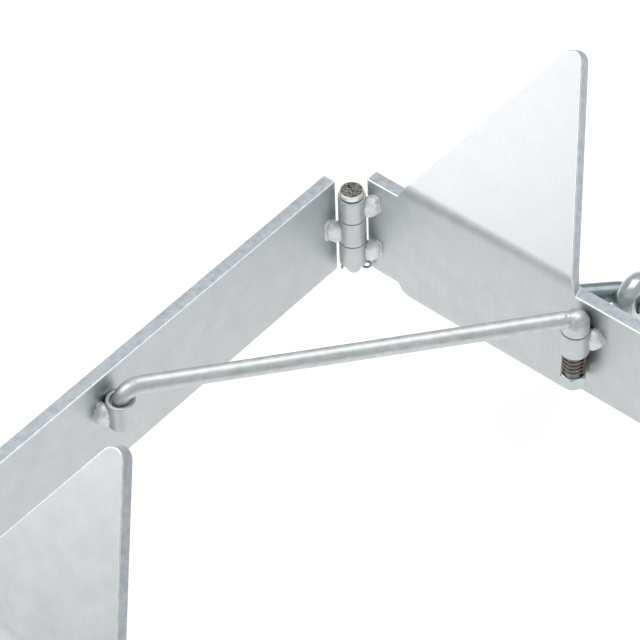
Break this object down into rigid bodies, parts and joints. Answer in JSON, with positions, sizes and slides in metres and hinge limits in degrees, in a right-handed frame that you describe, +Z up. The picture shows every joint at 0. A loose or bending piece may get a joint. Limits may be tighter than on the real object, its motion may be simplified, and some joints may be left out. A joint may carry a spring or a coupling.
{
  "type": "folding box anchor",
  "caption": "Folding box boat anchor: hinged flat-bar frame with bent triangular flukes, spring-held locking stay rod and a tow bail with link.",
  "frame": {"origin": "centre of the overall box on the ground plane under the lower fluke tips", "axes": "+X from the left side bar to the right one, +Y the direction of pull, past the tow bail, +Z up"},
  "size_m": [0.306, 0.3124, 0.1898],
  "materials": {
    "flat_bar": "zinc plated, satin with faint rolling streaks",
    "hinge_tube": "zinc plated, satin",
    "weld_bead": "zinc plated weld metal, uneven and bright",
    "hinge_pin": "bare steel with a ground head",
    "split_pin": "bright zinc plated wire",
    "stay_rod": "zinc plated, smooth satin",
    "spring": "oiled dark spring steel",
    "lock_nut": "blue zinc plated",
    "tow_bail": "blue zinc plated, glossy"
  },
  "bodies": {
    "front_bar": {"front_fluke_bar": "flat_bar", "front_left_bar_tubes": "hinge_tube", "front_left_hinge_pin": "hinge_pin", "front_left_split_pin": "split_pin", "front_left_bar_welds": "weld_bead", "front_right_bar_tubes": "hinge_tube", "front_right_hinge_pin": "hinge_pin", "front_right_split_pin": "split_pin", "front_right_bar_welds": "weld_bead", "stay_pivot_sleeve": "hinge_tube", "stay_pivot_weld": "weld_bead", "tow_bail": "tow_bail", "tow_bail_welds": "weld_bead"},
    "left_side": {"left_side_bar": "flat_bar", "front_left_side_tube": "hinge_tube", "front_left_side_weld": "weld_bead", "rear_left_side_tube": "hinge_tube", "rear_left_side_weld": "weld_bead", "stay_socket_sleeve": "hinge_tube", "stay_socket_weld": "weld_bead"},
    "right_side": {"right_side_bar": "flat_bar", "front_right_side_tube": "hinge_tube", "front_right_side_weld": "weld_bead", "rear_right_side_tube": "hinge_tube", "rear_right_side_weld": "weld_bead"},
    "rear_bar": {"rear_fluke_bar": "flat_bar", "rear_left_bar_tubes": "hinge_tube", "rear_left_hinge_pin": "hinge_pin", "rear_left_split_pin": "split_pin", "rear_left_bar_welds": "weld_bead", "rear_right_bar_tubes": "hinge_tube", "rear_right_hinge_pin": "hinge_pin", "rear_right_split_pin": "split_pin", "rear_right_bar_welds": "weld_bead"},
    "stay_spring": {"stay_spring": "spring"},
    "stay": {"stay_rod": "stay_rod", "stay_lock_nut": "lock_nut"},
    "tow_link": {"tow_link": "tow_bail"}
  },
  "joints": [
    {"name": "fold", "type": "hinge", "parent": "front_bar", "child": "left_side", "pos_m": [-0.141, 0.09576, 0.09489], "axis": [0, 0, 1], "range_deg": [0, 84]},
    {"name": "right_fold", "type": "hinge", "parent": "front_bar", "child": "right_side", "pos_m": [0.141, 0.09576, 0.09489], "axis": [0, 0, 1], "range_deg": [0, 84]},
    {"name": "rear_fold", "type": "hinge", "parent": "left_side", "child": "rear_bar", "pos_m": [-0.141, -0.14424, 0.09489], "axis": [0, 0, 1], "range_deg": [-84, 0]},
    {"name": "stay_swing", "type": "hinge", "parent": "front_bar", "child": "stay_spring", "pos_m": [-0.028, 0.09576, 0.09989], "axis": [0, 0, 1], "range_deg": [0, 125]},
    {"name": "stay_lift", "type": "slide", "parent": "stay_spring", "child": "stay", "axis": [0, 0, 1], "range_m": [0, 0.005], "stiffness_N_per_m": 1500, "springref_m": -0.004, "deforming": ["stay_spring"]},
    {"name": "tow_link_swing", "type": "hinge", "parent": "front_bar", "child": "tow_link", "pos_m": [-0.028, 0.13576, 0.09489], "axis": [1, 0, 0], "range_deg": [-58, 170]}
  ],
  "couplings": [
    {"joint": "right_fold", "follows": "fold", "ratio": 1},
    {"joint": "rear_fold", "follows": "fold", "ratio": -1},
    {"joint": "stay_swing", "follows": "fold", "ratio": 1.488}
  ]
}
